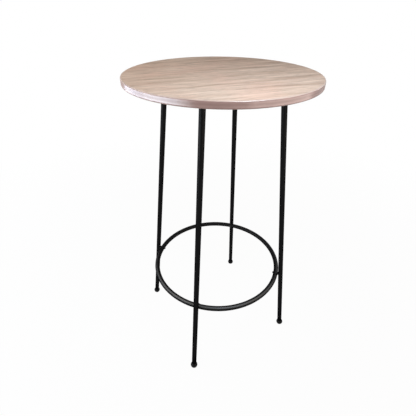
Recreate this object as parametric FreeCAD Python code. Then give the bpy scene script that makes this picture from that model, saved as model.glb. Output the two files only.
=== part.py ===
import FreeCAD, Part

import math
import os

Vector = FreeCAD.Vector

# Whole table: it stands on the floor with its axis on Z and its front towards -Y
table_height = 1100.0
top_diameter = 600.0

# Top: a board between two laminates, with a band glued round its edge
core_thickness = 18.0
laminate_thickness = 0.7
band_thickness = 3.0
band_rounding = 2.8
band_seam_gap = 0.3
band_seam_azimuth = 60.0

# Legs: straight round tubes that lean outwards, angles in degrees
leg_azimuths = {"front": -90.0, "right": 0.0, "back": 90.0, "left": 180.0}
leg_splay = 7.0
leg_diameter = 19.0
leg_wall = 1.2
foot_circle_diameter = 640.0

# Plates: welded to the tops of the legs and screwed to the board
plate_width = 62.0
plate_thickness = 3.0
plate_corner_radius = 9.0
plate_screw_spacing = 42.0
plate_hole_diameter = 4.6
weld_size = 3.5
weld_toe = 0.4
weld_profile_shares = ((0.0, 1.0), (0.5, 0.62), (1.0, 0.0))

# Wood screws: pan heads below the plates
screw_diameter = 4.0
screw_length = 16.0
screw_tip_length = 4.0
screw_head_diameter = 7.8
screw_head_height = 2.6
screw_head_rim = 0.9
pilot_extra_depth = 1.2

# Ball feet: each one's ribbed stem is pressed into the bore of its leg
ball_diameter = 28.0
floor_flat_diameter = 9.0
stem_length = 26.0
stem_wall = 1.8
stem_play = 0.7
rib_play = 0.05
rib_height = 2.4
rib_count = 4
cavity_depth = 30.0

# Foot ring: one bent tube inside the legs
ring_height = 325.0
ring_tube_diameter = 19.0
ring_tube_wall = 1.2
ring_leg_gap = 2.0

# Ring fixings: a bolt through the ring and a spacer into a rivet nut in the leg
bolt_diameter = 6.0
bolt_hole_play = 0.3
bolt_engagement = 9.5
bolt_tip_chamfer = 0.7
bolt_head_diameter = 10.5
bolt_head_height = 4.0
bolt_head_rim = 0.9
bolt_socket_sides = 6
bolt_socket_width = 4.0
bolt_socket_depth = 2.2
spacer_diameter = 14.0
spacer_bore_play = 0.2
nut_length = 12.5
nut_sleeve_diameter = 8.8
nut_hole_play = 0.1
nut_thread_play = 0.05
nut_flange_diameter = 10.6
nut_flange_thickness = 0.8
nut_collar_diameter = 11.0
nut_collar_thickness = 1.6

# One overrun past the faces for every cut
overrun = 5.0

# Sizes that follow from the ones above
top_radius = top_diameter / 2
core_radius = top_radius - band_thickness
top_thickness = core_thickness + 2 * laminate_thickness
top_underside = table_height - top_thickness
core_underside = top_underside + laminate_thickness
plate_underside = top_underside - plate_thickness
splay = math.radians(leg_splay)
leg_radius = leg_diameter / 2
leg_bore_radius = leg_radius - leg_wall
leg_up = Vector(-math.sin(splay), 0, math.cos(splay))
ball_radius = ball_diameter / 2
ball_height = math.sqrt(ball_radius ** 2 - (floor_flat_diameter / 2) ** 2)
ball_centre = Vector(foot_circle_diameter / 2, 0, ball_height)
ball_seat = math.sqrt(ball_radius ** 2 - leg_radius ** 2)
leg_reach = table_height / math.cos(splay)
ring_tube_radius = ring_tube_diameter / 2


def leg_distance(height):
    # Distance from the table's axis to the axis of a leg at a given height
    return ball_centre.x - (height - ball_height) * math.tan(splay)


plate_distance = leg_distance(plate_underside)
fixing_distance = leg_distance(ring_height)
leg_face_distance = fixing_distance - leg_radius / math.cos(splay)
ring_radius = leg_face_distance - ring_leg_gap - ring_tube_radius
ring_inner_radius = ring_radius - ring_tube_radius
bolt_seat = math.sqrt(ring_inner_radius ** 2 - (bolt_head_diameter / 2) ** 2)
bolt_length = leg_face_distance + bolt_engagement - bolt_seat


def turned(shape, azimuth):
    # Every leg and its pieces are built on +X and turned to their place
    copy = shape.copy()
    copy.rotate(Vector(0, 0, 0), Vector(0, 0, 1), azimuth)
    return copy


def revolved(edges, degrees=360.0):
    # A closed profile in the XZ plane, turned about Z
    face = Part.Face(Part.Wire(edges))
    return face.revolve(Vector(0, 0, 0), Vector(0, 0, 1), degrees)


def lines(points):
    # Straight edges through points given as distance from the axis and height
    corners = [Vector(distance, 0, height) for distance, height in points]
    return [Part.makeLine(start, end) for start, end in zip(corners, corners[1:])]


def arc(centre, radius, first, last):
    # Round edge in the XZ plane between two angles in degrees from +X
    points = []
    for degrees in (first, (first + last) / 2, last):
        angle = math.radians(degrees)
        points.append(Vector(centre[0] + radius * math.cos(angle), 0, centre[1] + radius * math.sin(angle)))
    return Part.Arc(*points).toShape()


def on_leg_axis(shape):
    # A turned piece whose own axis is moved on to the leg's axis, with its zero at the ball's centre
    shape.Placement = FreeCAD.Placement(ball_centre, FreeCAD.Rotation(Vector(0, 0, 1), leg_up))
    return shape


def leg_cylinder(radius):
    # Long round bar on the axis of a leg, from the foot to above the top
    return Part.makeCylinder(radius, leg_reach, ball_centre, leg_up)


def fixing_cylinder(radius, start, end):
    # Round bar on the axis of a ring bolt, between two distances from the table's axis
    return Part.makeCylinder(radius, end - start, Vector(start, 0, ring_height), Vector(1, 0, 0))


def ring_tube(radius):
    # Closed ring of round section on the centre line of the foot ring
    return Part.makeTorus(ring_radius, radius, Vector(0, 0, ring_height))


def screw_places():
    # Screw centres of one plate on +X
    half = plate_screw_spacing / 2
    return [(plate_distance + x, y) for x in (-half, half) for y in (-half, half)]


def all_screw_holes(radius, bottom, top):
    # Upright bars at the sixteen screw centres
    bars = []
    for azimuth in leg_azimuths.values():
        for x, y in screw_places():
            bar = Part.makeCylinder(radius, top - bottom, Vector(x, y, bottom))
            bars.append(turned(bar, azimuth))
    return bars


def disc(bottom, thickness):
    return Part.makeCylinder(core_radius, thickness, Vector(0, 0, bottom))


def make_top_core():
    # Board with blind pilot holes for the plate screws
    pilot_top = plate_underside + screw_length + pilot_extra_depth
    holes = all_screw_holes(screw_diameter / 2, core_underside - overrun, pilot_top)
    return disc(core_underside, core_thickness).cut(holes)


def make_backing_laminate():
    holes = all_screw_holes(screw_diameter / 2, top_underside - overrun, core_underside + overrun)
    return disc(top_underside, laminate_thickness).cut(holes)


def make_edge_band():
    # Band with rounded outer arrises, open by a narrow seam where its ends meet
    straight = top_radius - band_rounding
    low = top_underside + band_rounding
    high = table_height - band_rounding
    edges = lines([(core_radius, table_height), (core_radius, top_underside), (straight, top_underside)])
    edges.append(arc((straight, low), band_rounding, -90, 0))
    edges += lines([(top_radius, low), (top_radius, high)])
    edges.append(arc((straight, high), band_rounding, 0, 90))
    edges += lines([(straight, table_height), (core_radius, table_height)])
    seam = math.degrees(band_seam_gap / top_radius)
    return turned(revolved(edges, 360.0 - seam), band_seam_azimuth + seam / 2)


def make_leg():
    # Tube from the shoulder of the ball to the plate, drilled on its inner side for the rivet nut
    outer = Part.makeCylinder(leg_radius, leg_reach, ball_centre + leg_up * ball_seat, leg_up)
    above = Part.makeBox(top_diameter, top_diameter, table_height)
    above.translate(Vector(plate_distance - top_radius, -top_radius, plate_underside))
    hole_radius = nut_sleeve_diameter / 2 + nut_hole_play
    hole = fixing_cylinder(hole_radius, leg_face_distance - overrun, fixing_distance)
    return outer.cut([leg_cylinder(leg_bore_radius), above, hole])


def make_leg_plate():
    # Square plate with rounded corners and four screw holes
    half = plate_width / 2
    plate = Part.makeBox(plate_width, plate_width, plate_thickness)
    plate.translate(Vector(plate_distance - half, -half, plate_underside))
    upright = [edge for edge in plate.Edges if edge.Vertexes[0].Z != edge.Vertexes[-1].Z]
    plate = plate.makeFillet(plate_corner_radius, upright)
    holes = []
    for x, y in screw_places():
        start = Vector(x, y, plate_underside - overrun)
        holes.append(Part.makeCylinder(plate_hole_diameter / 2, plate_thickness + 2 * overrun, start))
    return plate.cut(holes)


def make_leg_weld():
    # Fillet bead round the slanted end of the tube: a loft through three ellipses, less the tube
    sections = []
    for depth_share, width_share in weld_profile_shares:
        height = plate_underside - weld_size * depth_share
        width = weld_toe + (weld_size - weld_toe) * width_share
        centre = Vector(leg_distance(height), 0, height)
        ellipse = Part.Ellipse(centre, leg_radius / math.cos(splay) + width, leg_radius + width)
        sections.append(Part.Wire(ellipse.toShape()))
    return Part.makeLoft(sections, True).cut(leg_cylinder(leg_radius))


def make_foot():
    # Ball with a flat for the floor and a hollow ribbed stem, turned about the leg's axis
    stem_radius = leg_bore_radius - stem_play
    rib_radius = leg_bore_radius - rib_play
    stem_top = ball_seat + stem_length
    shoulder = math.degrees(math.asin(ball_seat / ball_radius))
    points = [(leg_radius, ball_seat), (stem_radius, ball_seat)]
    for number in range(rib_count):
        height = ball_seat + stem_length * (number + 1) / (rib_count + 1)
        points += [(stem_radius, height), (rib_radius, height), (stem_radius, height + rib_height)]
    cavity_radius = stem_radius - stem_wall
    cavity_floor = stem_top - cavity_depth
    points += [(stem_radius, stem_top), (cavity_radius, stem_top), (cavity_radius, cavity_floor)]
    points += [(0, cavity_floor), (0, -ball_radius)]
    edges = [arc((0, 0), ball_radius, -90, shoulder)] + lines(points)
    below = Part.makeBox(ball_diameter, ball_diameter, ball_diameter)
    below.translate(Vector(ball_centre.x - ball_radius, -ball_radius, -ball_diameter))
    return on_leg_axis(revolved(edges)).cut(below)


def make_domed_fastener(head_diameter, head_height, head_rim, diameter, length, tip_length, tip_radius):
    # Head from below zero up to zero, shank above it, with a tapered tip
    dome = head_height - head_rim
    head_radius = head_diameter / 2
    dome_radius = (head_radius ** 2 + dome ** 2) / (2 * dome)
    rim_angle = math.degrees(math.asin(head_radius / dome_radius)) - 90
    shank_radius = diameter / 2
    points = [(head_radius, -head_rim), (head_radius, 0), (shank_radius, 0)]
    points += [(shank_radius, length - tip_length), (tip_radius, length)]
    if tip_radius > 0:
        points.append((0, length))
    points.append((0, -head_height))
    dome_centre = (0, dome_radius - head_height)
    return revolved([arc(dome_centre, dome_radius, -90, rim_angle)] + lines(points))


def make_plate_screws():
    # Four wood screws through each plate
    screw = make_domed_fastener(screw_head_diameter, screw_head_height, screw_head_rim,
                                screw_diameter, screw_length, screw_tip_length, 0)
    screws = []
    for azimuth in leg_azimuths.values():
        for x, y in screw_places():
            placed = screw.copy()
            placed.translate(Vector(x, y, plate_underside))
            screws.append(turned(placed, azimuth))
    return Part.makeCompound(screws)


def make_foot_ring():
    # Bent tube, drilled right through towards each leg
    tube = ring_tube(ring_tube_radius).cut(ring_tube(ring_tube_radius - ring_tube_wall))
    start = ring_inner_radius - overrun
    end = ring_radius + ring_tube_radius + overrun
    drill = fixing_cylinder(bolt_diameter / 2 + bolt_hole_play, start, end)
    return tube.cut([turned(drill, azimuth) for azimuth in leg_azimuths.values()])


def make_ring_bolt():
    # Domed bolt with a hexagon socket, its head against the inner side of the ring
    tip_radius = bolt_diameter / 2 - bolt_tip_chamfer
    bolt = make_domed_fastener(bolt_head_diameter, bolt_head_height, bolt_head_rim,
                               bolt_diameter, bolt_length, bolt_tip_chamfer, tip_radius)
    corner_radius = bolt_socket_width / 2 / math.cos(math.pi / bolt_socket_sides)
    corners = []
    for number in range(bolt_socket_sides + 1):
        angle = 2 * math.pi * number / bolt_socket_sides
        corner = Vector(corner_radius * math.cos(angle), corner_radius * math.sin(angle), -bolt_head_height)
        corners.append(corner)
    socket = Part.Face(Part.makePolygon(corners))
    bolt = bolt.cut(socket.extrude(Vector(0, 0, bolt_socket_depth)))
    outward = FreeCAD.Rotation(Vector(0, 0, 1), Vector(1, 0, 0))
    bolt.Placement = FreeCAD.Placement(Vector(bolt_seat, 0, ring_height), outward)
    return bolt


def make_ring_spacer():
    # Short sleeve coped to the ring at one end and to the leg at the other
    sleeve = fixing_cylinder(spacer_diameter / 2, ring_radius, fixing_distance)
    bore = fixing_cylinder(nut_flange_diameter / 2 + spacer_bore_play, ring_radius, fixing_distance)
    return sleeve.cut([ring_tube(ring_tube_radius), leg_cylinder(leg_radius), bore])


def make_ring_rivet_nut():
    # Threaded sleeve with a flange outside the wall of the leg and an upset collar behind it
    outside = leg_face_distance - overrun
    flange_face = leg_cylinder(leg_radius + nut_flange_thickness)
    flange = fixing_cylinder(nut_flange_diameter / 2, outside, fixing_distance)
    flange = flange.common(flange_face).cut(leg_cylinder(leg_radius))
    collar = fixing_cylinder(nut_collar_diameter / 2, outside, fixing_distance)
    collar = collar.common(leg_cylinder(leg_bore_radius))
    collar = collar.cut(leg_cylinder(leg_bore_radius - nut_collar_thickness))
    sleeve = fixing_cylinder(nut_sleeve_diameter / 2, outside, leg_face_distance + nut_length)
    sleeve = sleeve.common(flange_face)
    bore = fixing_cylinder(bolt_diameter / 2 + nut_thread_play, outside, fixing_distance + leg_radius)
    return sleeve.fuse([flange, collar]).cut(bore)


def at_each_leg(shape):
    # The same small piece at every leg, as one group of separate solids
    return Part.makeCompound([turned(shape, azimuth) for azimuth in leg_azimuths.values()])


def make_pieces():
    pieces = {
        "top_core": make_top_core(),
        "top_laminate": disc(table_height - laminate_thickness, laminate_thickness),
        "backing_laminate": make_backing_laminate(),
        "edge_band": make_edge_band(),
        "plate_screws": make_plate_screws(),
        "foot_ring": make_foot_ring(),
        "ring_bolts": at_each_leg(make_ring_bolt()),
        "ring_spacers": at_each_leg(make_ring_spacer()),
        "ring_rivet_nuts": at_each_leg(make_ring_rivet_nut()),
    }
    leg_pieces = {
        "leg": make_leg(),
        "leg_plate": make_leg_plate(),
        "leg_weld": make_leg_weld(),
        "foot": make_foot(),
    }
    for kind, shape in leg_pieces.items():
        for side, azimuth in leg_azimuths.items():
            pieces[kind + "_" + side] = turned(shape, azimuth)
    return pieces


os.makedirs("parts", exist_ok=True)
for name, shape in make_pieces().items():
    shape.exportStep("parts/" + name + ".step")
    print(name, "solids", len(shape.Solids), "valid", shape.isValid(), "volume", round(shape.Volume, 1))
print("ring radius", round(ring_radius, 2), "plate distance", round(plate_distance, 2))
print("bolt length", round(bolt_length, 2))
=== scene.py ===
import math

import bmesh
import bpy
import numpy as np
from mathutils import Matrix, Vector


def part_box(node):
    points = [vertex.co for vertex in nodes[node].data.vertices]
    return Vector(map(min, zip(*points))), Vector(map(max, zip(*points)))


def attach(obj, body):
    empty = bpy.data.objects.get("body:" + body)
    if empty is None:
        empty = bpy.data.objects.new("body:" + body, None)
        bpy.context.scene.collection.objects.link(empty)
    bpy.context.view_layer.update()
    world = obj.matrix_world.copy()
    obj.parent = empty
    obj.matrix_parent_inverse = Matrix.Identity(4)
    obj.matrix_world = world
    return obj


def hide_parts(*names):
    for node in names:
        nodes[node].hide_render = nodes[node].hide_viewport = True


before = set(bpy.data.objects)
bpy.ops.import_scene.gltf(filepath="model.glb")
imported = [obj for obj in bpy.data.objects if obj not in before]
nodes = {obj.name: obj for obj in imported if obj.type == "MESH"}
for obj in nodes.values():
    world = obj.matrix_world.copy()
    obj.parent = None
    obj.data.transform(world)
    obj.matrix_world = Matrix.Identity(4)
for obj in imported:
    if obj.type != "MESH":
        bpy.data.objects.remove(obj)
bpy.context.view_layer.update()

sides = {"front": -90.0, "right": 0.0, "back": 90.0, "left": 180.0}  # legs and their directions in degrees
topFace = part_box("top_laminate")[1].z
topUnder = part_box("backing_laminate")[0].z
mergeDistance = 2e-6  # metres between points that count as one
edgeMiddle = 0.3  # middle of a small rounded edge, as a share of its radius
print("bar table: frame loaded,", len(nodes), "nodes")


# Small helpers for arrays of points

def reach(node):
    # Furthest distance of a node's points from the table's axis
    points = np.empty(len(nodes[node].data.vertices) * 3, np.float32)
    nodes[node].data.vertices.foreach_get("co", points)
    return float(np.hypot(points[0::3], points[1::3]).max())


def turn(count):
    # Angles of one full turn, the last one on top of the first
    return np.linspace(0.0, 2 * math.pi, count + 1)


def arc(centre, radius, first, last, count):
    # Points on a circle between two angles in degrees, as (distance, height)
    angles = np.radians(np.linspace(first, last, count))
    return np.stack([centre[0] + radius * np.cos(angles), centre[1] + radius * np.sin(angles)], axis=-1)


def level(distances, height):
    # Points at one height, as (distance, height)
    return np.stack([distances, np.full(len(distances), height)], axis=-1)


def revolve(profile, angles):
    # Turned form: each (distance, height) of the profile goes round Z through all the angles
    distance, height = np.asarray(profile, float).T
    across = np.outer(distance, np.cos(angles))
    along = np.outer(distance, np.sin(angles))
    return np.stack([across, along, np.broadcast_to(height[:, None], across.shape)], axis=-1)


def carried(points, origin, axes):
    # Local x, y and z laid along three axes from an origin
    return np.asarray(origin) + points @ np.asarray(axes)


def turned(points, degrees):
    # Points turned about the table's axis
    angle = math.radians(degrees)
    return points @ np.array([[math.cos(angle), math.sin(angle), 0.0],
                              [-math.sin(angle), math.cos(angle), 0.0], [0.0, 0.0, 1.0]])


def smooth(value, low, high):
    # Eased step from 0 at low to 1 at high
    share = np.clip((value - low) / (high - low), 0.0, 1.0)
    return share * share * (3.0 - 2.0 * share)


def domeHeight(radii, limit, low, high):
    # Ball-shaped dome: its height falls from high in the middle to low at the limit
    rise = high - low
    ball = (limit ** 2 + rise ** 2) / (2 * rise)
    return np.sqrt(ball ** 2 - radii ** 2) - ball + high


def patchQuads(patch, start=0):
    # Quads between neighbouring rows and columns of points, numbered from start
    rows, columns = patch.shape[:2]
    index = start + np.arange(rows * columns).reshape(rows, columns)
    corners = [index[:-1, :-1], index[:-1, 1:], index[1:, 1:], index[1:, :-1]]
    return np.stack(corners, axis=-1).reshape(-1, 4)


def makePiece(name, patches, material, stands, crease=32.0, strips=None):
    # Each patch is rows by columns of points: neighbours make quads, doubles and poles are merged,
    # and the faces are turned outwards. Strips hold an (along, across) pair in metres for each point.
    points, quads, start = [], [], 0
    for patch in patches:
        quads.append(patchQuads(patch, start))
        points.append(patch.reshape(-1, 3))
        start += len(points[-1])
    quads = np.concatenate(quads)
    mesh = bpy.data.meshes.new(name)
    mesh.from_pydata(np.concatenate(points).tolist(), [], quads.tolist())
    if strips is not None:
        flat = np.concatenate([strip.reshape(-1, 2) for strip in strips])
        mesh.uv_layers.new(name="strip").data.foreach_set("uv", flat[quads.ravel()].ravel())
    work = bmesh.new()
    work.from_mesh(mesh)
    bmesh.ops.remove_doubles(work, verts=work.verts, dist=mergeDistance)
    bmesh.ops.recalc_face_normals(work, faces=work.faces)
    work.to_mesh(mesh)
    work.free()
    mesh.shade_smooth()
    mesh.set_sharp_from_angle(angle=math.radians(crease))
    mesh.materials.append(material)
    piece = bpy.data.objects.new(name, mesh)
    bpy.context.scene.collection.objects.link(piece)
    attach(piece, "root")
    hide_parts(*stands)
    print("  ", name, len(mesh.polygons), "faces")
    return piece


# Small helpers for materials

def paint(red, green, blue):
    # Screen colour 0 to 255 as the linear colour that shaders take
    share = np.array([red, green, blue]) / 255.0
    linear = np.where(share <= 0.04045, share / 12.92, ((share + 0.055) / 1.055) ** 2.4)
    return (float(linear[0]), float(linear[1]), float(linear[2]), 1.0)


def add(tree, kind, sockets=None, **settings):
    # One node with its settings; each socket takes a value or a link
    made = tree.nodes.new(kind)
    for key, value in settings.items():
        setattr(made, key, value)
    for key, value in (sockets or {}).items():
        if isinstance(value, bpy.types.NodeSocket):
            tree.links.new(value, made.inputs[key])
        else:
            made.inputs[key].default_value = value
    return made


def calc(tree, operation, first, second=0.0, third=0.0):
    # One step of arithmetic
    return add(tree, "ShaderNodeMath", {0: first, 1: second, 2: third}, operation=operation).outputs[0]


def spread(tree, value, low, high, newLow, newHigh, kind="LINEAR"):
    # Value between low and high laid out between two new ends
    made = add(tree, "ShaderNodeMapRange", {"Value": value, "From Min": low, "From Max": high,
                                            "To Min": newLow, "To Max": newHigh}, interpolation_type=kind)
    return made.outputs["Result"]


def blend(tree, share, first, second, kind="MIX"):
    # Two colours mixed by a share
    made = add(tree, "ShaderNodeMix", {0: share, 6: first, 7: second}, data_type="RGBA", blend_type=kind)
    return made.outputs[2]


def shaded(tree, colour, value):
    # Colour made lighter or darker by a factor
    grey = add(tree, "ShaderNodeCombineColor", {0: value, 1: value, 2: value}).outputs[0]
    return blend(tree, 1.0, colour, grey, "MULTIPLY")


def ramp(tree, value, stops):
    # Colour read off along a row of stops, each a position and a colour
    made = add(tree, "ShaderNodeValToRGB", {"Fac": value})
    elements = made.color_ramp.elements
    elements[0].position, elements[0].color = stops[0]
    elements[1].position, elements[1].color = stops[-1]
    for position, colour in stops[1:-1]:
        elements.new(position).color = colour
    return made.outputs["Color"]


def stretched(tree, vector, scales):
    # Coordinates scaled along each axis
    return add(tree, "ShaderNodeVectorMath", {0: vector, 1: scales}, operation="MULTIPLY").outputs[0]


def shifted(tree, vector, offset):
    # Coordinates moved by an offset
    return add(tree, "ShaderNodeVectorMath", {0: vector, 1: offset}, operation="ADD").outputs[0]


def heightOf(tree, place):
    # Height above the floor
    return add(tree, "ShaderNodeSeparateXYZ", {0: place["Object"]}).outputs["Z"]


def noise(tree, vector, scale, detail=3.0, roughness=0.5, distortion=0.0):
    # Fractal noise between 0 and 1
    made = add(tree, "ShaderNodeTexNoise", {"Vector": vector, "Scale": scale, "Detail": detail,
                                            "Roughness": roughness, "Distortion": distortion})
    return made.outputs["Fac"]


def newGroup(name, inputs, outputs):
    # Empty node group with its sockets: gives the tree, what comes in and what goes out
    tree = bpy.data.node_groups.new(name, "ShaderNodeTree")
    for socketName, kind, value in inputs:
        made = tree.interface.new_socket(name=socketName, in_out="INPUT", socket_type=kind)
        if value is not None:
            made.default_value = value
    for socketName, kind in outputs:
        tree.interface.new_socket(name=socketName, in_out="OUTPUT", socket_type=kind)
    return tree, tree.nodes.new("NodeGroupInput").outputs, tree.nodes.new("NodeGroupOutput").inputs


def useGroup(tree, group, sockets):
    # A group placed in a material: gives its outputs
    return add(tree, "ShaderNodeGroup", sockets, node_tree=group).outputs


def emptyTree(owner):
    # Node tree of a material or a world, with nothing in it
    owner.use_nodes = True
    owner.node_tree.nodes.clear()
    return owner.node_tree


def newMaterial(name):
    # A Principled shader on an output, and the object's own coordinates
    material = bpy.data.materials.new(name)
    tree = emptyTree(material)
    shader = tree.nodes.new("ShaderNodeBsdfPrincipled")
    output = tree.nodes.new("ShaderNodeOutputMaterial")
    tree.links.new(shader.outputs[0], output.inputs["Surface"])
    return material, tree, shader, tree.nodes.new("ShaderNodeTexCoord").outputs


def join(tree, shader, **sockets):
    # Links into the sockets of the Principled shader
    names = {"colour": "Base Color", "roughness": "Roughness", "normal": "Normal", "metallic": "Metallic",
             "specular": "Specular IOR Level"}
    for key, value in sockets.items():
        tree.links.new(value, shader.inputs[names[key]])


def bump(tree, height, strength, distance):
    # Surface direction from a height
    made = add(tree, "ShaderNodeBump", {"Height": height, "Strength": strength, "Distance": distance})
    return made.outputs["Normal"]


# Effects that several finishes share. In all the looks, ends are where a mask starts and where it is full.

# Wood figure: broad strips, flecks, fine fibre and short pores, all long in x and narrow in y.
# A layer is its repeats per metre, detail, roughness and distortion.
woodLayers = {"Strips": ((3.4, 50.0, 50.0), 4.0, 0.6, 0.25),
              "Flecks": ((18.0, 125.0, 125.0), 5.0, 0.7, 0.5),
              "Fibre": ((26.0, 560.0, 560.0), 3.0, 0.6, 0.0),
              "Pores": ((70.0, 1500.0, 1500.0), 2.0, 0.5, 0.0)}
woodDrift = (3.2, 9.0, 9.0)  # repeats per metre of the wander
poreEnds = (0.62, 0.72)
woodFigure, given, made = newGroup(
    "woodFigure",
    [("Vector", "NodeSocketVector", None), ("Wander", "NodeSocketFloat", 0.012)],
    [(layer, "NodeSocketFloat") for layer in woodLayers])
drift = noise(woodFigure, stretched(woodFigure, given["Vector"], woodDrift), 1.0, detail=2.0)
drift = calc(woodFigure, "MULTIPLY", calc(woodFigure, "SUBTRACT", drift, 0.5), given["Wander"])
drift = add(woodFigure, "ShaderNodeCombineXYZ", {"Y": drift}).outputs[0]
grainPlace = shifted(woodFigure, given["Vector"], drift)
for layer, (repeats, *grain) in woodLayers.items():
    tone = noise(woodFigure, stretched(woodFigure, grainPlace, repeats), 1.0, *grain)
    if layer == "Pores":
        tone = spread(woodFigure, tone, *poreEnds, 0.0, 1.0)
    woodFigure.links.new(tone, made[layer])

# Skin of a coat or moulding: fine orange-peel bumps with a finer, lower speckle on them
speckleShare = 0.3
coatSkin, given, made = newGroup(
    "coatSkin",
    [("Vector", "NodeSocketVector", None), ("Bumps", "NodeSocketFloat", 900.0),
     ("Speckle", "NodeSocketFloat", 4500.0)],
    [("Height", "NodeSocketFloat")])
peel = noise(coatSkin, given["Vector"], given["Bumps"], detail=2.0, roughness=0.45)
speck = noise(coatSkin, given["Vector"], given["Speckle"], detail=1.0)
coatSkin.links.new(calc(coatSkin, "MULTIPLY_ADD", speck, speckleShare, peel), made["Height"])

# Handling: broad smudges and much finer dust, as masks that shift gloss and colour a little
smudgeEnds, dustEnds, dustFiner = (0.3, 0.7), (0.6, 0.75), 60.0
handling, given, made = newGroup(
    "handling",
    [("Vector", "NodeSocketVector", None), ("Size", "NodeSocketFloat", 18.0)],
    [("Smudge", "NodeSocketFloat"), ("Dust", "NodeSocketFloat")])
smudge = noise(handling, given["Vector"], given["Size"], detail=4.0, roughness=0.6, distortion=0.4)
dustSize = calc(handling, "MULTIPLY", given["Size"], dustFiner)
dust = noise(handling, given["Vector"], dustSize, detail=2.0, roughness=0.6)
handling.links.new(spread(handling, smudge, *smudgeEnds, 0.0, 1.0), made["Smudge"])
handling.links.new(spread(handling, dust, *dustEnds, 0.0, 1.0), made["Dust"])

# Edge wear: raised edges, broken up by a noise
wearRise, wornEnds = 0.08, (0.42, 0.62)
edgeWear, given, made = newGroup(
    "edgeWear",
    [("Vector", "NodeSocketVector", None), ("Start", "NodeSocketFloat", 0.55),
     ("Size", "NodeSocketFloat", 260.0)],
    [("Mask", "NodeSocketFloat")])
raised = add(edgeWear, "ShaderNodeNewGeometry").outputs["Pointiness"]
raised = spread(edgeWear, raised, given["Start"], calc(edgeWear, "ADD", given["Start"], wearRise), 0.0, 1.0)
worn = noise(edgeWear, given["Vector"], given["Size"], detail=3.0, roughness=0.6)
worn = spread(edgeWear, worn, *wornEnds, 0.0, 1.0)
edgeWear.links.new(calc(edgeWear, "MULTIPLY", raised, worn), made["Mask"])


def skinNormal(tree, place, look):
    # Surface direction on the skin and the skin's height; bumps and speckle are repeats per metre
    bumps, speckle = look["skin"]
    skin = useGroup(tree, coatSkin, {"Vector": place["Object"], "Bumps": bumps, "Speckle": speckle})
    return bump(tree, skin["Height"], *look["bump"]), skin["Height"]


def wiped(tree, place, look):
    # Masks of smudges and dust, and the roughness that smudges shift a little both ways
    masks = useGroup(tree, handling, {"Vector": place["Object"], "Size": look["smudgeSize"]})
    glossier, duller = look["smudge"]
    low, high = look["roughness"] - glossier, look["roughness"] + duller
    return masks, spread(tree, masks["Smudge"], 0.0, 1.0, low, high)


def wornEdges(tree, place, look):
    # Mask of the worn edges, by where the wear starts and how finely it breaks up
    start, size = look["wear"]
    return useGroup(tree, edgeWear, {"Vector": place["Object"], "Start": start, "Size": size})["Mask"]


def partly(tree, mask, most, colour, tone):
    # Colour that takes on a tone by a mask, up to a largest share
    return blend(tree, calc(tree, "MULTIPLY", mask, most), colour, paint(*tone))


# Finishes

topLook = {"grainTurn": 37.0, "grainShift": (0.9, 0.94, 0.0), "pale": (224, 200, 182),
           "middle": (205, 178, 159), "deep": (175, 147, 128), "toneSteps": (0.32, 0.50, 0.68),
           "pinkTint": (212, 175, 156), "pinkSize": 7.0, "pinkEnds": (0.5, 0.7), "pinkMost": 0.55,
           "greyFleck": (151, 129, 115), "fleckEnds": (0.53, 0.67), "fleckMost": 0.5,
           "shadeEnds": (0.25, 0.65), "fleckShade": (1.14, 0.90), "fibreEnds": (0.3, 0.7),
           "fibreShade": (0.86, 1.10), "poreMost": 0.35, "poreRoughness": 0.12, "fibreHeight": 0.4,
           "smudgeSize": 9.0, "smudge": (0.05, 0.06), "roughness": 0.5, "specular": 0.03,
           "bump": (0.25, 0.00008)}


def makeOakLaminate():
    # Printed oak: strips set the tone, flecks grey it, fibre and pores give the fine lines
    look = topLook
    material, tree, shader, place = newMaterial("oakLaminate")
    grainTurn = (0.0, 0.0, -math.radians(look["grainTurn"]))
    grain = add(tree, "ShaderNodeMapping", {"Vector": place["Object"], "Location": look["grainShift"],
                                            "Rotation": grainTurn}).outputs[0]
    figure = useGroup(tree, woodFigure, {"Vector": grain})
    tones = [paint(*look[tone]) for tone in ("deep", "middle", "pale")]
    colour = ramp(tree, figure["Strips"], list(zip(look["toneSteps"], tones)))
    blush = noise(tree, grain, look["pinkSize"], detail=2.0)
    blush = spread(tree, blush, *look["pinkEnds"], 0.0, look["pinkMost"])
    colour = blend(tree, blush, colour, paint(*look["pinkTint"]))
    fleckShare = spread(tree, figure["Flecks"], *look["fleckEnds"], 0.0, look["fleckMost"])
    colour = blend(tree, fleckShare, colour, paint(*look["greyFleck"]))
    colour = shaded(tree, colour, spread(tree, figure["Flecks"], *look["shadeEnds"], *look["fleckShade"]))
    colour = shaded(tree, colour, spread(tree, figure["Fibre"], *look["fibreEnds"], *look["fibreShade"]))
    colour = partly(tree, figure["Pores"], look["poreMost"], colour, look["greyFleck"])
    gloss = wiped(tree, place, look)[1]
    gloss = calc(tree, "MULTIPLY_ADD", figure["Pores"], look["poreRoughness"], gloss)
    depth = calc(tree, "MULTIPLY", figure["Fibre"], look["fibreHeight"])
    depth = calc(tree, "SUBTRACT", depth, figure["Pores"])
    join(tree, shader, colour=colour, roughness=gloss, normal=bump(tree, depth, *look["bump"]))
    shader.inputs["Specular IOR Level"].default_value = look["specular"]
    return material


# Painted reflection lines are (share of the band's height, brightness): paler and darker bands of colour
# and sheen that stand in for reflected light. The scraped arris, paler partly as a painted highlight,
# starts and is full at depths in metres
bandLook = {"pale": (153, 119, 109), "deep": (135, 103, 93), "wander": 0.004, "fleckEnds": (0.3, 0.7),
            "fibreEnds": (0.3, 0.7), "fibreShade": (0.93, 1.05),
            "lines": ((0.16, 0.35), (0.30, 1.0), (0.40, 0.45), (0.58, 0.0), (0.70, 0.6), (0.84, 0.5)),
            "reflectionLineShade": (0.92, 1.13), "reflectionLineSheen": (0.78, 1.25), "scrapedHighlight": (186, 161, 148),
            "scrapedHighlightFrom": 0.0015, "scrapedHighlightFull": 0.0009, "smudgeSize": 14.0, "smudge": (0.04, 0.05),
            "roughness": 0.21, "specular": 0.8, "sheenFade": (0.50, 0.84), "sheenLeft": 0.06}


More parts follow.
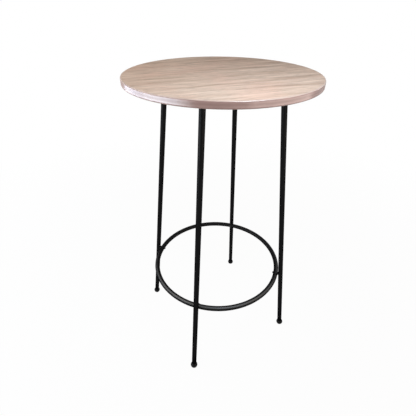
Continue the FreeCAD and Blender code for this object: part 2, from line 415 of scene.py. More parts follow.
def makeEdgeBand():
    # Wood-print band: the figure runs along the strip, softened, with paler and darker lines of painted
    # reflection in its colour and sheen, and a scraped upper arris whose paler colour is partly a painted
    # highlight; its sheen fades where the band turns away
    look = bandLook
    material, tree, shader, place = newMaterial("edgeBandPrint")
    figure = useGroup(tree, woodFigure, {"Vector": place["UV"], "Wander": look["wander"]})
    share = spread(tree, figure["Flecks"], *look["fleckEnds"], 0.0, 1.0)
    colour = blend(tree, share, paint(*look["pale"]), paint(*look["deep"]))
    colour = shaded(tree, colour, spread(tree, figure["Fibre"], *look["fibreEnds"], *look["fibreShade"]))
    height = heightOf(tree, place)
    heightShare = spread(tree, height, topUnder, topFace, 0.0, 1.0)
    # Painted reflection: lines that brighten and darken the colour and the sheen by height, all round the
    # band
    greys = [(position, (grey, grey, grey, 1.0)) for position, grey in look["lines"]]
    line = add(tree, "ShaderNodeSeparateColor", {0: ramp(tree, heightShare, greys)}).outputs[0]
    colour = shaded(tree, colour, spread(tree, line, 0.0, 1.0, *look["reflectionLineShade"]))
    # Scraped upper arris: paler, and its pale colour is partly a painted highlight along the arris
    scrapedHighlight = spread(tree, height, topFace - look["scrapedHighlightFrom"], topFace - look["scrapedHighlightFull"], 0.0, 1.0)
    colour = blend(tree, scrapedHighlight, colour, paint(*look["scrapedHighlight"]))
    facing = add(tree, "ShaderNodeLayerWeight", {"Blend": 0.5}).outputs["Facing"]
    sheen = spread(tree, facing, *look["sheenFade"], look["specular"], look["specular"] * look["sheenLeft"])
    sheen = calc(tree, "MULTIPLY", sheen, spread(tree, line, 0.0, 1.0, *look["reflectionLineSheen"]))
    join(tree, shader, colour=colour, roughness=wiped(tree, place, look)[1], specular=sheen)
    return material


coatLook = {"black": (11, 11, 12), "worn": (40, 40, 42), "wear": (0.53, 260.0), "wornMost": 0.6,
            "dustMost": 0.12, "smudgeSize": 16.0, "smudge": (0.06, 0.08), "roughness": 0.34,
            "specular": 0.08, "sheenEdge": 0.6, "skin": (700.0, 3800.0), "bump": (0.16, 0.00025)}
# The ring's highlight values place a painted highlight band in its sheen on the outer upper side
ringCoatLook = {**coatLook, "black": (10, 10, 11), "worn": (52, 52, 54), "roughness": 0.44, "specular": 0.8,
                "highlightTilt": 64.0, "highlightEnds": (0.86, 0.995), "offHighlight": 0.14}


def paintedHighlightBand(tree, place, look):
    # Painted highlight band in the sheen: 1 where the surface faces outwards and up by the tilt, where the
    # highlight falls, and less elsewhere
    tilt = math.radians(look["highlightTilt"])
    away = stretched(tree, place["Object"], (1.0, 1.0, 0.0))
    away = add(tree, "ShaderNodeVectorMath", {0: away}, operation="NORMALIZE").outputs[0]
    rubbed = shifted(tree, stretched(tree, away, (math.cos(tilt),) * 3), (0.0, 0.0, math.sin(tilt)))
    facing = add(tree, "ShaderNodeVectorMath", {0: place["Normal"], 1: rubbed}, operation="DOT_PRODUCT")
    return spread(tree, facing.outputs["Value"], *look["highlightEnds"], look["offHighlight"], 1.0, "SMOOTHSTEP")


def makePowderCoat(name, look):
    # Satin black powder coat: orange peel, faint dust and smudges, edges rubbed a little paler; its sheen
    # fades where the surface turns away, as on a finely textured coat
    material, tree, shader, place = newMaterial(name)
    wipe, gloss = wiped(tree, place, look)
    worn = wornEdges(tree, place, look)
    colour = partly(tree, worn, look["wornMost"], paint(*look["black"]), look["worn"])
    colour = partly(tree, wipe["Dust"], look["dustMost"], colour, look["worn"])
    facing = add(tree, "ShaderNodeLayerWeight", {"Blend": 0.5}).outputs["Facing"]
    sheen = spread(tree, facing, 0.0, look["sheenEdge"], look["specular"], 0.0, "SMOOTHSTEP")
    # Painted highlight band: the ring's sheen is kept to its outer upper side
    if "highlightTilt" in look:
        sheen = calc(tree, "MULTIPLY", sheen, paintedHighlightBand(tree, place, look))
    join(tree, shader, colour=colour, roughness=gloss, specular=sheen,
         normal=skinNormal(tree, place, look)[0])
    return material


plasticLook = {"black": (12, 12, 13), "rubbed": (38, 38, 39), "rubbedTo": 0.006, "dustMost": 0.15,
               "smudgeSize": 40.0, "smudge": (0.05, 0.1), "roughness": 0.34, "specular": 0.1,
               "skin": (2200.0, 6500.0), "bump": (0.2, 0.00008)}


def makeMouldedPlastic():
    # Moulded black plastic: fine spark texture, rubbed paler where it stands on the floor
    look = plasticLook
    material, tree, shader, place = newMaterial("blackMouldedPlastic")
    wipe, gloss = wiped(tree, place, look)
    low = spread(tree, heightOf(tree, place), 0.0, look["rubbedTo"], 1.0, 0.0)
    rubbed = calc(tree, "MULTIPLY", low, wipe["Smudge"])
    colour = blend(tree, rubbed, paint(*look["black"]), paint(*look["rubbed"]))
    colour = partly(tree, wipe["Dust"], look["dustMost"], colour, look["rubbed"])
    join(tree, shader, colour=colour, roughness=gloss, normal=skinNormal(tree, place, look)[0])
    shader.inputs["Specular IOR Level"].default_value = look["specular"]
    return material


boltLook = {"black": (30, 30, 32), "worn": (90, 88, 84), "wear": (0.54, 900.0), "wornMost": 0.7,
            "metal": (0.35, 0.9), "smudgeSize": 120.0, "smudge": (0.06, 0.12), "roughness": 0.34,
            "skin": (1800.0, 7000.0), "bump": (0.12, 0.00005)}


def makeBlackBolt():
    # Black zinc: dark metal with the colour rubbed off the edges
    look = boltLook
    material, tree, shader, place = newMaterial("blackZincBolt")
    worn = wornEdges(tree, place, look)
    colour = partly(tree, worn, look["wornMost"], paint(*look["black"]), look["worn"])
    metal = spread(tree, worn, 0.0, 1.0, *look["metal"])
    join(tree, shader, colour=colour, roughness=wiped(tree, place, look)[1], metallic=metal,
         normal=skinNormal(tree, place, look)[0])
    return material


zincLook = {"bright": (200, 200, 198), "dull": (168, 170, 172), "rubbed": (226, 226, 224),
            "wear": (0.54, 700.0), "wornMost": 0.5, "smudgeSize": 150.0, "smudge": (0.08, 0.12),
            "roughness": 0.36, "skin": (1500.0, 8000.0), "bump": (0.15, 0.00005)}


def makeZincSteel():
    # Bright zinc: mottled plating with a fine grain
    look = zincLook
    material, tree, shader, place = newMaterial("zincSteel")
    wipe, gloss = wiped(tree, place, look)
    colour = blend(tree, wipe["Smudge"], paint(*look["bright"]), paint(*look["dull"]))
    colour = partly(tree, wornEdges(tree, place, look), look["wornMost"], colour, look["rubbed"])
    join(tree, shader, colour=colour, roughness=gloss, normal=skinNormal(tree, place, look)[0])
    shader.inputs["Metallic"].default_value = 1.0
    return material


backingLook = {"pale": (206, 199, 188), "deep": (192, 184, 172), "dustMost": 0.3, "smudgeSize": 7.0,
               "smudge": (0.05, 0.08), "roughness": 0.6, "skin": (600.0, 2600.0), "bump": (0.15, 0.0001)}


def makeBackingSheet():
    # Plain balancing sheet: matt paper with a faint felt grain
    look = backingLook
    material, tree, shader, place = newMaterial("backingSheet")
    wipe, gloss = wiped(tree, place, look)
    colour = blend(tree, wipe["Smudge"], paint(*look["pale"]), paint(*look["deep"]))
    colour = partly(tree, wipe["Dust"], look["dustMost"], colour, look["deep"])
    join(tree, shader, colour=colour, roughness=gloss, normal=skinNormal(tree, place, look)[0])
    return material


boardLook = {"pale": (186, 152, 112), "deep": (150, 116, 80), "flakes": (220.0, 220.0, 500.0),
             "roughness": (0.79, 0.91), "skin": (500.0, 2400.0), "skinEnds": (0.3, 0.9),
             "bump": (0.4, 0.0002)}


def makeFibreBoard():
    # Raw fibre board: flakes of several browns
    look = boardLook
    material, tree, shader, place = newMaterial("fibreBoard")
    flakePlace = stretched(tree, place["Object"], look["flakes"])
    flakes = add(tree, "ShaderNodeTexVoronoi", {"Vector": flakePlace, "Scale": 1.0})
    share = add(tree, "ShaderNodeSeparateColor", {0: flakes.outputs["Color"]}).outputs[0]
    colour = blend(tree, share, paint(*look["pale"]), paint(*look["deep"]))
    normal, height = skinNormal(tree, place, look)
    gloss = spread(tree, height, *look["skinEnds"], *look["roughness"])
    join(tree, shader, colour=colour, roughness=gloss, normal=normal)
    return material


oakLaminate = makeOakLaminate()
edgeBandPrint = makeEdgeBand()
powderCoat = makePowderCoat("blackPowderCoat", coatLook)
ringCoat = makePowderCoat("ringPowderCoat", ringCoatLook)
mouldedPlastic = makeMouldedPlastic()
blackBolt = makeBlackBolt()
zincSteel = makeZincSteel()
backingSheet = makeBackingSheet()
fibreBoard = makeFibreBoard()
print("bar table: finishes made")


# Top: two sheets, a board between them and a band round the edge

sheetShape = {"segments": 360, "rings": (0.0, 0.25, 0.5, 0.75, 0.93, 1.0)}
# Seam steps and reach are in seam widths, and the valley sets in between two distances from the sheets
bandShape = {"segments": 600, "rounding": 0.0028, "arcPoints": 9, "faceRows": 13, "lipRows": 4,
             "seamAt": 60.0, "seamWidth": 0.0003, "seamDepth": 0.0007, "seamReach": 1.2,
             "seamInside": (0.0005, 0.0015), "seamSteps": (-3.0, -1.6, -1.0, -0.5, 0.0, 0.5, 1.0, 1.6, 3.0)}
topRadius = reach("edge_band")
sheetRadius = reach("top_laminate")


def sheetDisc(low, high, shape):
    # Flat disc: its half section goes round the table's axis, with rings inside to keep the faces even
    rings = sheetRadius * np.array(shape["rings"])
    return revolve(np.concatenate([level(rings, low), level(rings[::-1], high)]), turn(shape["segments"]))


def bandRing(shape):
    # Band section: inner wall, rounded arrises and a straight face; it goes round the table's axis and dips
    # by a narrow valley where its two ends meet
    rounding = shape["rounding"]
    edge = topRadius - rounding
    heights = np.linspace(topUnder + rounding, topFace - rounding, shape["faceRows"])[1:-1]
    face = np.stack([np.full(len(heights), topRadius), heights], axis=-1)
    lowArc = arc((edge, topUnder + rounding), rounding, -90, 0, shape["arcPoints"])
    highArc = arc((edge, topFace - rounding), rounding, 0, 90, shape["arcPoints"])
    inner = np.linspace(edge, sheetRadius, shape["lipRows"])[1:]
    under = level(inner[::-1], topUnder)
    profile = np.concatenate([under, lowArc, face, highArc, level(inner, topFace), under[:1]])
    seam = math.radians(shape["seamAt"])
    valley = np.array(shape["seamSteps"]) * shape["seamWidth"] / topRadius
    angles = np.unique(np.concatenate([turn(shape["segments"]), seam + valley]))
    ring = revolve(profile, angles)
    away = np.abs(angles - seam) * topRadius
    dip = shape["seamDepth"] * (1 - smooth(away, 0.0, shape["seamWidth"] * shape["seamReach"]))
    outside = smooth(profile[:, 0] - sheetRadius, *shape["seamInside"])
    ring[..., :2] *= (1 - np.outer(outside, dip) / topRadius)[..., None]
    run = np.concatenate([[0.0], np.cumsum(np.hypot(*np.diff(profile, axis=0).T))])
    strip = np.stack(np.broadcast_arrays(angles[None, :] * topRadius, run[:, None]), axis=-1)
    return ring, strip


bandPoints, bandStrip = bandRing(bandShape)
makePiece("topSheet", [sheetDisc(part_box("top_laminate")[0].z, topFace, sheetShape)],
          oakLaminate, ["top_laminate"])
makePiece("underSheet", [sheetDisc(topUnder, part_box("backing_laminate")[1].z, sheetShape)],
          backingSheet, ["backing_laminate"])
makePiece("edgeStrip", [bandPoints], edgeBandPrint, ["edge_band"], strips=[bandStrip])
print("bar table: top made")


# Legs: leaning tubes, with plates, weld beads and ball feet

legShape = {"radius": 0.0095, "wall": 0.0012, "splay": 7.0, "burr": 0.0003, "segments": 48, "rows": 16}
# Reaches are degrees either side of the ball's middle, and the chamfer is its inset and length
footShape = {"flat": 0.009, "rows": 44, "upperRows": 16, "segments": 64, "partingHeight": 0.00012,
             "partingWidth": 0.0004, "partingRows": 15, "partingReach": 2.5, "ballReach": 3.0,
             "stemGap": 0.0004, "stemLength": 0.026, "stemChamfer": (0.001, 0.002)}
splay = math.radians(legShape["splay"])
footLow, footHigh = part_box("foot_right")
ballRadius = float(footHigh.y - footLow.y) / 2
ballHeight = math.sqrt(ballRadius ** 2 - (footShape["flat"] / 2) ** 2)
ballCentre = np.array([footHigh.x - ballRadius, 0.0, ballHeight])
legUp = np.array([-math.sin(splay), 0.0, math.cos(splay)])
legAxes = np.array([[math.cos(splay), 0.0, math.sin(splay)], [0.0, 1.0, 0.0], legUp])
seat = math.sqrt(ballRadius ** 2 - legShape["radius"] ** 2)
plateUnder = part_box("leg_plate_right")[0].z
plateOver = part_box("leg_plate_right")[1].z


def legDistance(height):
    # Distance of a leg's axis from the table's axis at a height
    return ballCentre[0] - (height - ballCentre[2]) * math.tan(splay)


def legTube(shape):
    # Tube wall: circles about the leg's axis from the ball's shoulder up to the plate, where each line of
    # the tube ends at the plate's height, and back down the bore
    angles = turn(shape["segments"])
    outer, inner, burr = shape["radius"], shape["radius"] - shape["wall"], shape["burr"]
    top = (plateUnder - ballCentre[2]) / math.cos(splay)
    share = np.linspace(0.0, 1.0, shape["rows"])
    edge = [outer - burr, outer - burr * edgeMiddle]
    radii = np.concatenate([edge, np.full(shape["rows"], outer), [inner, inner, outer - burr]])
    starts = seat + burr * np.concatenate([[0.0, edgeMiddle], np.ones(shape["rows"]), np.zeros(3)])
    rise = np.concatenate([[0.0, 0.0], share, [1.0, 0.0, 0.0]])
    ends = top - np.outer(radii, np.cos(angles)) * math.tan(splay)
    along = starts[:, None] + rise[:, None] * (ends - starts[:, None])
    points = np.stack([np.outer(radii, np.cos(angles)), np.outer(radii, np.sin(angles)), along], axis=-1)
    return carried(points, ballCentre, legAxes)


def ballFoot(shape):
    # Ball turned about the leg's axis, from its lowest point to the shoulder under the tube and on as a
    # short stem, with a fine raised parting line; what would be below the floor is flat on it
    shoulder = math.degrees(math.asin(seat / ballRadius))
    lower = arc((0.0, 0.0), ballRadius, -90, -shape["ballReach"], shape["rows"])
    upper = arc((0.0, 0.0), ballRadius, shape["ballReach"], shoulder, shape["upperRows"])
    belt = np.radians(np.linspace(-shape["partingReach"], shape["partingReach"], shape["partingRows"]))
    raised = shape["partingHeight"] * np.exp(-(belt * ballRadius / (shape["partingWidth"] / 2)) ** 2)
    belt = (ballRadius + raised)[:, None] * np.stack([np.cos(belt), np.sin(belt)], axis=-1)
    bore = legShape["radius"] - legShape["wall"] - shape["stemGap"]
    tip = seat + shape["stemLength"]
    inset, slope = shape["stemChamfer"]
    stem = np.array([[bore, seat], [bore, tip - slope], [bore - inset, tip], [0.0, tip]])
    points = revolve(np.concatenate([lower, belt, upper, stem]), turn(shape["segments"]))
    points = carried(points, ballCentre, legAxes)
    points[..., 2] = np.maximum(points[..., 2], 0.0)
    return points


plateShape = {"width": 0.062, "cornerRadius": 0.009, "cornerPoints": 12, "bevel": 0.0005}


def roundedSquare(half, radius, count):
    # Outline of a square with round corners: a quarter circle at each corner
    angles = np.linspace(0.0, math.pi / 2, count)
    quarters = np.arange(4)[:, None] * math.pi / 2 + angles[None, :]
    inner = half - radius
    x = inner * np.sign(np.cos(quarters.mean(axis=1)))[:, None] + radius * np.cos(quarters)
    y = inner * np.sign(np.sin(quarters.mean(axis=1)))[:, None] + radius * np.sin(quarters)
    outline = np.stack([x.ravel(), y.ravel()], axis=-1)
    return np.concatenate([outline, outline[:1]])


def legPlate(shape):
    # Square plate: its outline drawn in by the bevel at both faces, closed to the middle
    half, radius, bevel = shape["width"] / 2, shape["cornerRadius"], shape["bevel"]
    insets = [half, bevel * 2, bevel, bevel * edgeMiddle, 0.0]
    heights = [0.0, 0.0, 0.0, bevel * edgeMiddle, bevel]
    lower = [(inset, plateUnder + height) for inset, height in zip(insets, heights)]
    upper = [(inset, plateOver - height) for inset, height in zip(insets, heights)]
    rows = []
    for inset, height in lower + upper[::-1]:
        outline = roundedSquare(half - inset, max(radius - inset, 0.0), shape["cornerPoints"])
        rows.append(np.column_stack([outline, np.full(len(outline), height)]))
    return np.stack(rows) + np.array([legDistance(plateUnder), 0.0, 0.0])


# The root lies inside the tube's wall, and the bow is how far the middle of a ripple lags, in radians
weldShape = {"size": 0.0034, "root": 0.0004, "rows": 10, "segments": 240, "ripples": 30,
             "rippleDepth": 0.09, "rippleBow": 1.6, "rippleSharp": 3}


def weldBead(shape):
    # Fillet round the tube's slanted end: a quarter circle from the plate to the tube, with curved ripples
    angles = turn(shape["segments"])
    sweep = np.linspace(0.0, math.pi / 2, shape["rows"])
    phase = shape["ripples"] * angles[None, :] + shape["rippleBow"] * np.sin(2 * sweep)[:, None]
    size = shape["size"] * (1 - shape["rippleDepth"] * np.abs(np.sin(phase / 2)) ** shape["rippleSharp"])
    out, down = size * np.cos(sweep)[:, None], size * np.sin(sweep)[:, None]
    root = np.full((1, len(angles)), -shape["root"])
    atPlate, lowest = np.zeros_like(root), np.full_like(root, shape["size"])
    out = np.concatenate([root, out, root, root])
    down = np.concatenate([atPlate, down, lowest, atPlate])
    height = plateUnder - down
    x = legDistance(height) + (legShape["radius"] / math.cos(splay) + out) * np.cos(angles)
    y = (legShape["radius"] + out) * np.sin(angles)
    return np.stack([x, y, height], axis=-1)


legPieces = {
    "legTube": (legTube(legShape), powderCoat, "black_steel", "leg_"),
    "legPlate": (legPlate(plateShape), powderCoat, "black_steel", "leg_plate_"),
    "weldBead": (weldBead(weldShape), powderCoat, "black_steel", "leg_weld_"),
    "ballFoot": (ballFoot(footShape), mouldedPlastic, "black_plastic", "foot_"),
}
for side, degrees in sides.items():
    for kind, (points, finish, slotName, node) in legPieces.items():
        makePiece(kind + "." + side, [turned(points, degrees)], finish, [node + side])
print("bar table: legs made")


# Foot ring with its spacers and bolts

ringShape = {"tubeRadius": 0.0095, "turns": 480, "sides": 40, "jointAt": 45.0, "jointWidth": 0.004,
             "jointHeight": 0.00022, "jointReach": 1.6, "jointRows": 21}
ringRadius = reach("foot_ring") - ringShape["tubeRadius"]
ringLow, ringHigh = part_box("foot_ring")
ringHeight = (ringLow.z + ringHigh.z) / 2


def footRing(shape):
    # Ring tube: a circle carried round a larger one, swelling a little over the dressed joint of its ends
    joint = math.radians(shape["jointAt"])
    steps = np.linspace(-shape["jointReach"], shape["jointReach"], shape["jointRows"])
    near = joint + steps * shape["jointWidth"] / ringRadius
    angles = np.unique(np.concatenate([turn(shape["turns"]), near]))
    bead = np.exp(-((angles - joint) * ringRadius / (shape["jointWidth"] / 2)) ** 2)
    tube = shape["tubeRadius"] + shape["jointHeight"] * bead
    section = turn(shape["sides"])
    distance = ringRadius + np.outer(np.cos(section), tube)
    height = ringHeight + np.outer(np.sin(section), tube)
    return np.stack([distance * np.cos(angles), distance * np.sin(angles), height], axis=-1)


spacerShape = {"radius": 0.007, "bore": 0.0055, "segments": 64}


def ringSpacer(shape):
    # Sleeve between ring and leg: for each point of its circles, one end lies on the ring's tube and the
    # other on the leg's tube
    angles = turn(shape["segments"])
    outer, bore = shape["radius"], shape["bore"]
    radii = np.array([outer, outer, bore, bore, outer])[:, None]
    across, height = radii * np.sin(angles), radii * np.cos(angles)
    tube = ringShape["tubeRadius"]
    onRing = np.sqrt((ringRadius + np.sqrt(tube ** 2 - height ** 2)) ** 2 - across ** 2)
    legSide = legShape["radius"] / math.cos(splay) * np.sqrt(1 - (across / legShape["radius"]) ** 2)
    onLeg = legDistance(ringHeight + height) - legSide
    atLeg = np.array([0.0, 1.0, 1.0, 0.0, 0.0])[:, None]
    return np.stack([onRing + atLeg * (onLeg - onRing), across, ringHeight + height], axis=-1)


# Depth is a share of the pitch, the flank runs between two shares of half a pitch, and the tip's length is
# in radii for a full taper
threadShape = {"depth": 0.544, "flank": (0.2, 0.9), "tipLength": 2.2}


def threadedShank(shape, length):
    # Screw thread: a cylinder whose radius falls and rises once each pitch along a helix, closed at its end
    radius, pitch, taper = shape["radius"], shape["pitch"], shape["tipTaper"]
    angles = turn(shape["segments"])
    run = np.linspace(0.0, length, int(length / pitch * shape["rowsPerTurn"]))
    wave = np.abs(((run[:, None] / pitch - angles / (2 * math.pi)) % 1.0) * 2 - 1)
    fade = smooth(run, 0.0, pitch)[:, None]
    narrow = 1 - taper * smooth(run, length - taper * radius * threadShape["tipLength"], length)[:, None]
    depth = threadShape["depth"] * pitch * fade * (1 - smooth(wave, *threadShape["flank"]))
    radii = (radius - depth) * narrow
    body = np.stack([radii * np.cos(angles), radii * np.sin(angles),
                     np.broadcast_to(run[:, None], radii.shape)], axis=-1)
    tip = body[-1:] * np.array([0.0, 0.0, 1.0])
    return np.concatenate([body, tip])


# Rows are shares of the way from the middle to the socket's wall, and from there to the head's edge
boltShape = {"headRadius": 0.00525, "headHeight": 0.004, "rim": 0.0009, "rimEdge": 0.0002,
             "socketWidth": 0.004, "socketDepth": 0.0022, "socketDish": 0.0004, "socketEdge": 0.00012,
             "socketRows": (*np.linspace(0.0, 0.94, 6), 0.99, 1.0),
             "domeRows": (0.012, 0.05, *np.linspace(0.12, 1.0, 12)), "segments": 72, "radius": 0.003,
             "pitch": 0.001, "rowsPerTurn": 6, "tipTaper": 0.22, "engagement": 0.0095}
boltSeat = math.sqrt((ringRadius - ringShape["tubeRadius"]) ** 2 - boltShape["headRadius"] ** 2)


def hexBolt(shape):
    # Domed head with a six-sided socket: the height over the head falls to the socket's floor inside the
    # hexagon; below the rim comes the threaded shank
    angles = turn(shape["segments"])
    fold = (angles + math.pi / 6) % (math.pi / 3) - math.pi / 6
    flat = shape["socketWidth"] / 2 / np.cos(fold)
    limit = shape["headRadius"]
    share = np.array(shape["socketRows"])[:, None]
    grow = np.array(shape["domeRows"])[:, None]
    radii = np.concatenate([share * flat, flat + grow * (limit - flat)])
    height = domeHeight(radii, limit, shape["rim"], shape["headHeight"])
    wall = len(share) - 1
    height[wall] -= shape["socketEdge"]
    floor = shape["headHeight"] - shape["socketDepth"]
    height[:wall] = floor - shape["socketDish"] * (1 - share[:wall] ** 2)
    head = np.stack([radii * np.cos(angles), radii * np.sin(angles), -height], axis=-1)
    rimRows = np.array([[limit, -shape["rimEdge"]], [limit, 0.0], [shape["radius"], 0.0]])
    length = legDistance(ringHeight) - legShape["radius"] / math.cos(splay) + shape["engagement"] - boltSeat
    return np.concatenate([head, revolve(rimRows, angles), threadedShank(shape, length)[1:]])


outward = np.array([[0.0, 0.0, -1.0], [0.0, 1.0, 0.0], [1.0, 0.0, 0.0]])
boltPoints = carried(hexBolt(boltShape), [boltSeat, 0.0, ringHeight], outward)
spacerPoints = ringSpacer(spacerShape)
makePiece("footRing", [footRing(ringShape)], ringCoat, ["foot_ring"])
makePiece("ringSpacers", [turned(spacerPoints, degrees) for degrees in sides.values()],
          mouldedPlastic, ["ring_spacers"])
makePiece("ringBolts", [turned(boltPoints, degrees) for degrees in sides.values()],
          blackBolt, ["ring_bolts"])
print("bar table: foot ring made")


# Wood screws through the plates

# Rows are shares of the head's radius; the wing's taper, edge and fade are shares of its own sizes
screwShape = {"headRadius": 0.0039, "headHeight": 0.0026, "rim": 0.0009, "recessDepth": 0.0016,
              "wing": 0.0021, "wingWidth": 0.00045, "wingTaper": 0.35, "wingEdge": (0.75, 1.1),
              "wingFade": 0.45, "headRows": (*np.linspace(0.0, 0.62, 26), *np.linspace(0.68, 1.0, 8)),
              "segments": 64, "radius": 0.002, "pitch": 0.0018, "rowsPerTurn": 7, "tipTaper": 0.95,
              "length": 0.016, "spacing": 0.042, "spinSeed": 7}


def crossScrew(shape):
    # Pan head: a dome over the head's circle, sunk by a cross whose wings get shallow and narrow outwards;
    # below the rim comes the threaded shank
    angles = turn(shape["segments"])
    radii = shape["headRadius"] * np.array(shape["headRows"])
    x, y = np.outer(radii, np.cos(angles)), np.outer(radii, np.sin(angles))
    along = np.maximum(np.abs(x), np.abs(y))
    aside = np.minimum(np.abs(x), np.abs(y))
    narrow = shape["wingWidth"] * (1 - shape["wingTaper"] * along / shape["wing"])
    inEdge, outEdge = shape["wingEdge"]
    sink = 1 - smooth(aside, narrow * inEdge, narrow * outEdge)
    sink = sink * (1 - smooth(along, shape["wing"] * shape["wingFade"], shape["wing"]))
    dome = domeHeight(radii, shape["headRadius"], shape["rim"], shape["headHeight"])[:, None]
    head = np.stack([x, y, shape["recessDepth"] * sink - dome], axis=-1)
    rim = revolve([[shape["headRadius"], 0.0], [shape["radius"], 0.0]], angles)
    return np.concatenate([head, rim, threadedShank(shape, shape["length"])[1:]])


half = screwShape["spacing"] / 2
screwPoints = crossScrew(screwShape)
screwPlaces = [(legDistance(plateUnder) + x, y) for x in (-half, half) for y in (-half, half)]
screwCount = len(sides) * len(screwPlaces)
spins = iter(np.random.default_rng(screwShape["spinSeed"]).uniform(0.0, 90.0, screwCount))
screwPatches = [turned(turned(screwPoints, next(spins)) + np.array([x, y, plateUnder]), degrees)
                for degrees in sides.values() for x, y in screwPlaces]
makePiece("plateScrews", screwPatches, zincSteel, ["plate_screws"])

# Nodes that stay as they are, with a finish of their own
for node, finish in {"top_core": fibreBoard, "ring_rivet_nuts": zincSteel}.items():
    nodes[node].data.materials.clear()
    nodes[node].data.materials.append(finish)
print("bar table: screws and inner pieces made")


# Stage: pale floor, studio lamps and the camera

stageLook = {"floorRings": (0.0, 0.9, 3.6, 9.0), "floorSegments": 96, "floorDrop": 0.0002,
             "floorColour": (0.86, 0.86, 0.86), "whiteEnds": (0.7, 2.4), "whiteness": (0.965, 1.0),
             "worldLight": 0.03}
# Angles are degrees, and aside is how far the lens axis lies from the middle of the picture, in pixels
cameraLook = {"azimuth": 14.758, "distance": 0.99264, "height": 1.29244, "yaw": -1.970, "pitch": 35.029,
              "roll": -0.613, "focalPixels": 306.675, "imagePixels": 416, "aside": (1.472, 1.563),
              "sensorWidth": 36.0, "clip": (0.01, 100.0)}
# Bearings are degrees from the camera's right, anticlockwise seen from above; sizes are width by height
lamps = {
    "leftLow": {"bearing": 187.0, "distance": 1.9, "height": 0.66, "aim": 1.0, "size": (3.5, 0.42),
                "power": 24.2, "colour": (0.75, 0.84, 1.0)},
    "leftFront": {"bearing": 212.0, "distance": 1.9, "height": 0.62, "aim": 1.0, "size": (2.0, 0.42),
                  "power": 10.8, "colour": (0.95, 0.98, 1.0)},
    "leftHigh": {"bearing": 192.0, "distance": 1.15, "height": 1.72, "aim": 1.1, "size": (1.5, 0.3),
                 "power": 11.3, "colour": (1.0, 0.935, 0.84)},
    "frontNear": {"bearing": -62.0, "distance": 0.55, "height": 1.55, "aim": 0.9, "size": (0.3, 0.3),
                  "power": 5.6, "colour": (0.73, 0.87, 1.0)},
    "rightHigh": {"bearing": -15.0, "distance": 1.5, "height": 2.0, "aim": 0.7, "size": (0.8, 0.8),
                  "power": 5.2, "colour": (1.0, 0.75, 0.52)},
    "rightLow": {"bearing": -25.0, "distance": 2.0, "height": 0.62, "aim": 1.0, "size": (3.2, 0.5),
                 "power": 13.2, "colour": (1.0, 0.83, 0.74)},
}


def litWhite(tree):
    # 1 for rays that show the background: from the camera, a gloss or through glass
    rays = add(tree, "ShaderNodeLightPath").outputs
    seen = calc(tree, "MAXIMUM", rays["Is Camera Ray"], rays["Is Glossy Ray"])
    return calc(tree, "MAXIMUM", seen, rays["Is Transmission Ray"])


def makeFloor(look):
    # A wide flat disc, mostly white where it is seen, that still takes the table's shadow
    material = bpy.data.materials.new("paleFloor")
    tree = emptyTree(material)
    matt = add(tree, "ShaderNodeBsdfDiffuse", {"Color": (*look["floorColour"], 1.0)})
    white = add(tree, "ShaderNodeEmission", {"Color": (1.0, 1.0, 1.0, 1.0), "Strength": 1.0})
    place = add(tree, "ShaderNodeTexCoord").outputs["Object"]
    away = add(tree, "ShaderNodeVectorMath", {0: place}, operation="LENGTH").outputs["Value"]
    whiteness = spread(tree, away, *look["whiteEnds"], *look["whiteness"])
    share = calc(tree, "MULTIPLY", litWhite(tree), whiteness)
    mixed = add(tree, "ShaderNodeMixShader", {0: share, 1: matt.outputs[0], 2: white.outputs[0]})
    add(tree, "ShaderNodeOutputMaterial", {"Surface": mixed.outputs[0]})
    points = revolve(level(look["floorRings"], -look["floorDrop"]), turn(look["floorSegments"])[::-1])
    mesh = bpy.data.meshes.new("paleFloor")
    mesh.from_pydata(points.reshape(-1, 3).tolist(), [], patchQuads(points).tolist())
    mesh.materials.append(material)
    floor = bpy.data.objects.new("paleFloor", mesh)
    bpy.context.scene.collection.objects.link(floor)


def makeWorld(look):
    # White where it is seen, and a faint even light on the table
    world = bpy.data.worlds.new("studio")
    bpy.context.scene.world = world
    tree = emptyTree(world)
    strength = spread(tree, litWhite(tree), 0.0, 1.0, look["worldLight"], 1.0)
    sky = add(tree, "ShaderNodeBackground", {"Color": (1.0, 1.0, 1.0, 1.0), "Strength": strength})
    add(tree, "ShaderNodeOutputWorld", {"Surface": sky.outputs[0]})


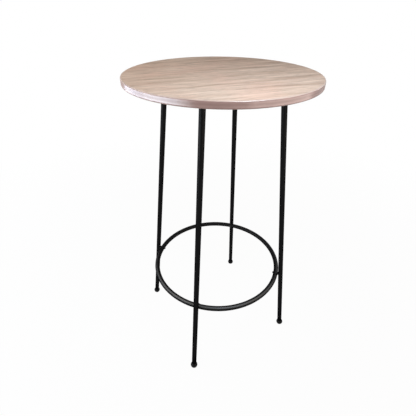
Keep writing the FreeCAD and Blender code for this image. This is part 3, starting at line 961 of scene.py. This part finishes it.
def makeLamp(name, look):
    # Soft box at a bearing and distance from the table's axis, turned to a point on that axis
    angle = math.radians(look["bearing"] + cameraLook["azimuth"])
    spot = Vector((look["distance"] * math.cos(angle), look["distance"] * math.sin(angle), look["height"]))
    light = bpy.data.lights.new(name, "AREA")
    light.shape = "RECTANGLE"
    light.size, light.size_y = look["size"]
    light.energy = look["power"]
    light.color = look["colour"]
    lamp = bpy.data.objects.new(name, light)
    lamp.location = spot
    lamp.rotation_euler = (Vector((0.0, 0.0, look["aim"])) - spot).to_track_quat("-Z", "Y").to_euler()
    bpy.context.scene.collection.objects.link(lamp)


def makeCamera(look):
    # Right, down and forward from yaw, pitch and roll, all turned with the camera round the table's axis
    yaw, pitch, roll = (math.radians(look[key]) for key in ("yaw", "pitch", "roll"))
    forward = Vector((math.sin(yaw) * math.cos(pitch), math.cos(yaw) * math.cos(pitch), -math.sin(pitch)))
    right = Vector((math.cos(yaw), -math.sin(yaw), 0.0))
    down = forward.cross(right)
    rolledRight = math.cos(roll) * right + math.sin(roll) * down
    rolledDown = math.cos(roll) * down - math.sin(roll) * right
    pose = Matrix((rolledRight, -rolledDown, -forward)).transposed().to_4x4()
    pose.translation = Vector((0.0, -look["distance"], look["height"]))
    lens = bpy.data.cameras.new("photoCamera")
    lens.sensor_width = look["sensorWidth"]
    lens.lens = look["focalPixels"] / look["imagePixels"] * look["sensorWidth"]
    lens.shift_x = -look["aside"][0] / look["imagePixels"]
    lens.shift_y = look["aside"][1] / look["imagePixels"]
    lens.clip_start, lens.clip_end = look["clip"]
    camera = bpy.data.objects.new("photoCamera", lens)
    camera.matrix_world = Matrix.Rotation(math.radians(look["azimuth"]), 4, "Z") @ pose
    bpy.context.scene.collection.objects.link(camera)
    bpy.context.scene.camera = camera


makeFloor(stageLook)
makeWorld(stageLook)
for lampName, lampLook in lamps.items():
    makeLamp(lampName, lampLook)
makeCamera(cameraLook)
bpy.context.scene.view_settings.view_transform = "Standard"
print("bar table: stage made")
